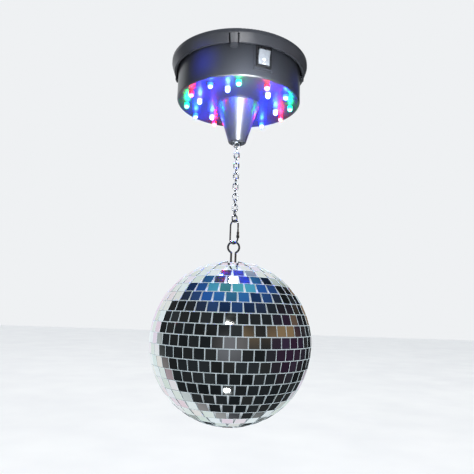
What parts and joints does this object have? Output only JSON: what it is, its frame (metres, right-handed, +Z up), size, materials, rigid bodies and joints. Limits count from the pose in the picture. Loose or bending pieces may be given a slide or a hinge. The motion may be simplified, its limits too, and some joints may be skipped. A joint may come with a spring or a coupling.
{
  "type": "mirror ball",
  "caption": "Battery-driven mirror ball: ceiling plate, twist-lock motor housing with coloured lamps and cone, chain and snap link, and a ball of flat mirror tiles.",
  "frame": {"origin": "centre of the ceiling plate's top face, where it meets the ceiling", "axes": "+Z up into the ceiling, along the chain and the drive shaft; -Y is the front, where the switch is; +X to the right seen from the front"},
  "size_m": [0.15, 0.15, 0.3497],
  "materials": {
    "charcoal_abs": "glossy moulded",
    "black_plastic": "satin",
    "grey_rocker": "satin moulded",
    "zinc_steel": "zinc plated",
    "bright_chrome": "polished plating",
    "brass_bush": "turned",
    "white_acetal": "moulded",
    "cell_jacket": "printed film",
    "board_green": "solder mask",
    "wire_jacket": "extruded",
    "white_core": "moulded",
    "mirror_glass": "silvered glass",
    "green_lens": "clear epoxy, lit",
    "red_lens": "clear epoxy, lit",
    "blue_lens": "clear epoxy, lit",
    "white_lens": "clear epoxy, lit"
  },
  "bodies": {
    "ceiling_mount": {"ceiling_plate": "charcoal_abs"},
    "housing": {"housing_shell": "charcoal_abs", "cone_cover": "charcoal_abs", "cone_screws": "zinc_steel", "shaft_bush": "brass_bush", "gearbox_base": "white_acetal", "gearbox_lid": "white_acetal", "gearbox_screws": "zinc_steel", "gear_axles": "zinc_steel", "motor_can": "zinc_steel", "motor_cap": "black_plastic", "battery_tray": "black_plastic", "battery_cells": "cell_jacket", "cell_contacts": "bright_chrome", "lamp_board": "board_green", "board_screws": "zinc_steel", "lamp_legs": "zinc_steel", "green_lamps": "green_lens", "red_lamps": "red_lens", "blue_lamps": "blue_lens", "white_lamps": "white_lens", "switch_body": "black_plastic", "switch_terminals": "brass_bush", "battery_wires": "wire_jacket", "motor_wires": "wire_jacket"},
    "rocker": {"switch_rocker": "grey_rocker"},
    "output": {"output_gear": "white_acetal", "output_shaft": "zinc_steel", "hook_eye": "bright_chrome"},
    "second_stage": {"second_gear": "white_acetal"},
    "first_stage": {"first_gear": "white_acetal"},
    "motor_rotor": {"motor_pinion": "brass_bush", "motor_shaft": "zinc_steel"},
    "chain_link_01": {"chain_link_01": "bright_chrome"},
    "chain_link_02": {"chain_link_02": "bright_chrome"},
    "chain_link_03": {"chain_link_03": "bright_chrome"},
    "chain_link_04": {"chain_link_04": "bright_chrome"},
    "chain_link_05": {"chain_link_05": "bright_chrome"},
    "chain_link_06": {"chain_link_06": "bright_chrome"},
    "chain_link_07": {"chain_link_07": "bright_chrome"},
    "chain_link_08": {"chain_link_08": "bright_chrome"},
    "chain_link_09": {"chain_link_09": "bright_chrome"},
    "chain_link_10": {"chain_link_10": "bright_chrome"},
    "chain_link_11": {"chain_link_11": "bright_chrome"},
    "chain_link_12": {"chain_link_12": "bright_chrome"},
    "chain_link_13": {"chain_link_13": "bright_chrome"},
    "chain_link_14": {"chain_link_14": "bright_chrome"},
    "snap_link": {"snap_link": "bright_chrome", "gate_pin": "bright_chrome"},
    "gate": {"snap_gate": "bright_chrome"},
    "ball": {"wire_eye": "bright_chrome", "ball_plug": "black_plastic", "plug_retainer": "black_plastic", "ball_core_upper": "white_core", "ball_core_lower": "white_core", "tiles_top": "mirror_glass", "tiles_upper": "mirror_glass", "tiles_lower": "mirror_glass", "tiles_bottom": "mirror_glass"}
  },
  "joints": [
    {"name": "twist_lock", "type": "hinge", "parent": "ceiling_mount", "child": "housing", "pos_m": [0, 0, 0], "axis": [0, 0, 1], "range_deg": [0, 15]},
    {"name": "switch_rock", "type": "hinge", "parent": "housing", "child": "rocker", "pos_m": [0.02106, -0.05693, -0.0226], "axis": [-0.9379, -0.3469, 0], "range_deg": [0, 16]},
    {"name": "output_spin", "type": "hinge", "parent": "housing", "child": "output", "pos_m": [0, 0, -0.06], "axis": [0, 0, 1], "continuous": true},
    {"name": "second_spin", "type": "hinge", "parent": "housing", "child": "second_stage", "pos_m": [-0.00428, -0.01175, -0.028], "axis": [0, 0, 1], "continuous": true},
    {"name": "first_spin", "type": "hinge", "parent": "housing", "child": "first_stage", "pos_m": [-0.01452, -0.00458, -0.026], "axis": [0, 0, 1], "continuous": true},
    {"name": "motor_spin", "type": "hinge", "parent": "housing", "child": "motor_rotor", "pos_m": [-0.02626, -0.00885, -0.02], "axis": [0, 0, 1], "continuous": true},
    {"name": "link_01_swing", "type": "hinge", "parent": "output", "child": "chain_link_01", "pos_m": [0, 0, -0.08735], "axis": [1, 0, 0], "range_deg": [-7, 7]},
    {"name": "link_02_swing", "type": "hinge", "parent": "chain_link_01", "child": "chain_link_02", "pos_m": [0, 0, -0.0927], "axis": [-0.0199, 0.9998, 0], "range_deg": [-7, 7]},
    {"name": "link_03_swing", "type": "hinge", "parent": "chain_link_02", "child": "chain_link_03", "pos_m": [0, 0, -0.09801], "axis": [0.9992, 0.0399, 0], "range_deg": [-7, 7]},
    {"name": "link_04_swing", "type": "hinge", "parent": "chain_link_03", "child": "chain_link_04", "pos_m": [0, 0, -0.10331], "axis": [-0.0598, 0.9982, 0], "range_deg": [-7, 7]},
    {"name": "link_05_swing", "type": "hinge", "parent": "chain_link_04", "child": "chain_link_05", "pos_m": [0, 0, -0.10861], "axis": [0.9968, 0.0797, 0], "range_deg": [-7, 7]},
    {"name": "link_06_swing", "type": "hinge", "parent": "chain_link_05", "child": "chain_link_06", "pos_m": [0, 0, -0.11392], "axis": [-0.0996, 0.995, 0], "range_deg": [-7, 7]},
    {"name": "link_07_swing", "type": "hinge", "parent": "chain_link_06", "child": "chain_link_07", "pos_m": [0, 0, -0.11922], "axis": [0.9928, 0.1194, 0], "range_deg": [-7, 7]},
    {"name": "link_08_swing", "type": "hinge", "parent": "chain_link_07", "child": "chain_link_08", "pos_m": [0, 0, -0.12452], "axis": [-0.1392, 0.9903, 0], "range_deg": [-7, 7]},
    {"name": "link_09_swing", "type": "hinge", "parent": "chain_link_08", "child": "chain_link_09", "pos_m": [0, 0, -0.12983], "axis": [0.9873, 0.1589, 0], "range_deg": [-7, 7]},
    {"name": "link_10_swing", "type": "hinge", "parent": "chain_link_09", "child": "chain_link_10", "pos_m": [0, 0, -0.13513], "axis": [-0.1786, 0.9839, 0], "range_deg": [-7, 7]},
    {"name": "link_11_swing", "type": "hinge", "parent": "chain_link_10", "child": "chain_link_11", "pos_m": [0, 0, -0.14044], "axis": [0.9802, 0.1981, 0], "range_deg": [-7, 7]},
    {"name": "link_12_swing", "type": "hinge", "parent": "chain_link_11", "child": "chain_link_12", "pos_m": [0, 0, -0.14574], "axis": [-0.2177, 0.976, 0], "range_deg": [-7, 7]},
    {"name": "link_13_swing", "type": "hinge", "parent": "chain_link_12", "child": "chain_link_13", "pos_m": [0, 0, -0.15104], "axis": [0.9715, 0.2371, 0], "range_deg": [-7, 7]},
    {"name": "link_14_swing", "type": "hinge", "parent": "chain_link_13", "child": "chain_link_14", "pos_m": [0, 0, -0.15635], "axis": [-0.2564, 0.9666, 0], "range_deg": [-7, 7]},
    {"name": "snap_link_swing", "type": "hinge", "parent": "chain_link_14", "child": "snap_link", "pos_m": [0, 0, -0.16165], "axis": [0.9613, 0.2756, 0], "range_deg": [-10, 10]},
    {"name": "gate_swing", "type": "hinge", "parent": "snap_link", "child": "gate", "pos_m": [0.00368, -0.00368, -0.1762], "axis": [-0.7071, -0.7071, 0], "range_deg": [0, 24], "stiffness_Nm_per_rad": 0.002, "springref_deg": -5.73},
    {"name": "ball_swing", "type": "hinge", "parent": "snap_link", "child": "ball", "pos_m": [0, 0, -0.183], "axis": [0.7071, -0.7071, 0], "range_deg": [-12, 12]}
  ],
  "couplings": [
    {"joint": "second_spin", "follows": "output_spin", "ratio": -4},
    {"joint": "first_spin", "follows": "output_spin", "ratio": 16},
    {"joint": "motor_spin", "follows": "output_spin", "ratio": -64}
  ]
}
